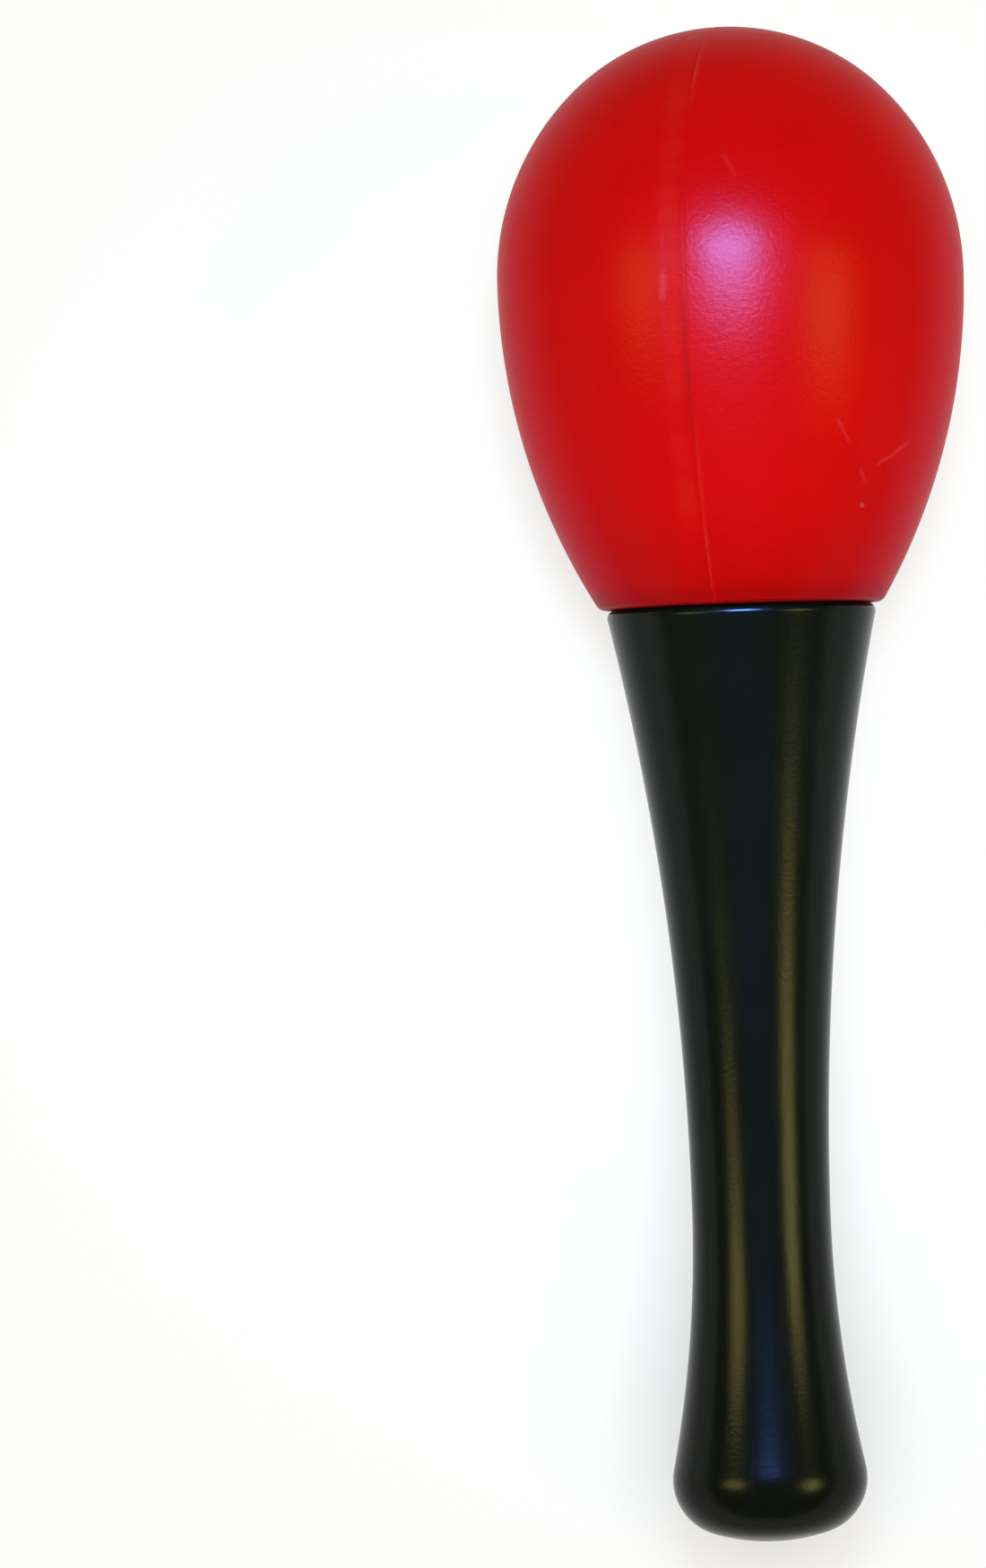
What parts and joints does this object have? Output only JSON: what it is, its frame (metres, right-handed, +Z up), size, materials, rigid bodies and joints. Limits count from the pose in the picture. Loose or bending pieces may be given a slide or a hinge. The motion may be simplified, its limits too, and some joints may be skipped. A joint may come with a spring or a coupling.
{
  "type": "maraca",
  "caption": "Plastic hand shaker: a hollow egg-shaped red head on a flared, hollow black handle with a domed end. Loose pellets sealed in the head rattle when it is shaken.",
  "frame": {"origin": "on the table, under the middle of the maraca's box as it lies on the belly of its head and the edge of its handle's end", "axes": "+Z up from the table, +Y along the maraca's length towards the head, +X to the right; the maraca's own axis lies in the YZ plane and rises 6.64 degrees towards the head"},
  "size_m": [0.0708, 0.2288, 0.0713],
  "materials": {
    "head_plastic": "satin red, moulded",
    "handle_plastic": "glossy black, moulded",
    "stopper_plastic": "natural white, moulded",
    "pellet_plastic": "pale amber, tumbled"
  },
  "bodies": {
    "shaker": {"head_shell_left": "head_plastic", "head_shell_right": "head_plastic", "chamber_stopper": "stopper_plastic", "handle": "handle_plastic"},
    "pellet_row_1": {"pellet_01": "pellet_plastic", "pellet_02": "pellet_plastic", "pellet_03": "pellet_plastic", "pellet_04": "pellet_plastic", "pellet_05": "pellet_plastic"},
    "pellet_row_2": {"pellet_06": "pellet_plastic", "pellet_07": "pellet_plastic", "pellet_08": "pellet_plastic", "pellet_09": "pellet_plastic", "pellet_10": "pellet_plastic", "pellet_11": "pellet_plastic", "pellet_12": "pellet_plastic"},
    "pellet_row_3": {"pellet_13": "pellet_plastic", "pellet_14": "pellet_plastic", "pellet_15": "pellet_plastic", "pellet_16": "pellet_plastic", "pellet_17": "pellet_plastic", "pellet_18": "pellet_plastic", "pellet_19": "pellet_plastic", "pellet_20": "pellet_plastic", "pellet_21": "pellet_plastic"},
    "pellet_row_4": {"pellet_22": "pellet_plastic", "pellet_23": "pellet_plastic", "pellet_24": "pellet_plastic", "pellet_25": "pellet_plastic", "pellet_26": "pellet_plastic", "pellet_27": "pellet_plastic", "pellet_28": "pellet_plastic"},
    "pellet_row_5": {"pellet_29": "pellet_plastic", "pellet_30": "pellet_plastic", "pellet_31": "pellet_plastic", "pellet_32": "pellet_plastic", "pellet_33": "pellet_plastic"}
  },
  "joints": [
    {"name": "pellet_row_1_swirl", "type": "hinge", "parent": "shaker", "child": "pellet_row_1", "pos_m": [0, 0.0268, 0.03008], "axis": [0, 0.9933, 0.1156], "continuous": true},
    {"name": "pellet_row_2_swirl", "type": "hinge", "parent": "shaker", "child": "pellet_row_2", "pos_m": [0, 0.0268, 0.03008], "axis": [0, 0.9933, 0.1156], "continuous": true},
    {"name": "pellet_row_3_swirl", "type": "hinge", "parent": "shaker", "child": "pellet_row_3", "pos_m": [0, 0.0268, 0.03008], "axis": [0, 0.9933, 0.1156], "continuous": true},
    {"name": "pellet_row_4_swirl", "type": "hinge", "parent": "shaker", "child": "pellet_row_4", "pos_m": [0, 0.0268, 0.03008], "axis": [0, 0.9933, 0.1156], "continuous": true},
    {"name": "pellet_row_5_swirl", "type": "hinge", "parent": "shaker", "child": "pellet_row_5", "pos_m": [0, 0.0268, 0.03008], "axis": [0, 0.9933, 0.1156], "continuous": true}
  ]
}
